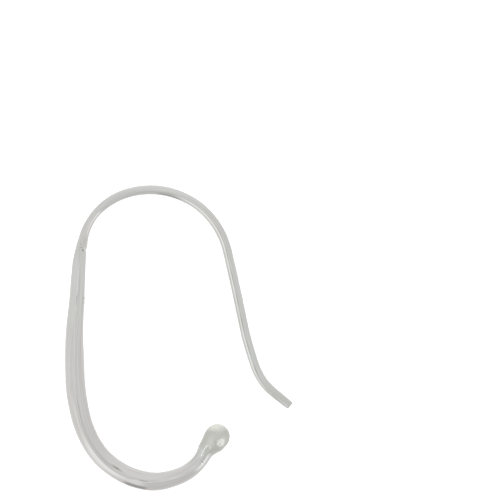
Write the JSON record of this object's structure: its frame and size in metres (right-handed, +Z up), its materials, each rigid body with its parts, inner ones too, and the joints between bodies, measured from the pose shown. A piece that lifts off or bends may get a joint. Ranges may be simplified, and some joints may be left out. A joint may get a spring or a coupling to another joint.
{
  "type": "ear wire",
  "caption": "Hook-shaped silver ear wire: a thin round wire arches over from a kicked tip to a soldered, tapered front bar that curls under and ends in a small ball.",
  "frame": {"origin": "centre of the outline on the surface that the ear wire lies on", "axes": "+Y towards the top of the arch, +X towards the rear leg and the tip, +Z up from the surface"},
  "size_m": [0.0206, 0.0276, 0.0023],
  "materials": {
    "silver": "polished sterling silver, drawn and forged, with soft file lines along the bar"
  },
  "bodies": {
    "root": {"ear_wire": "silver"}
  },
  "joints": []
}
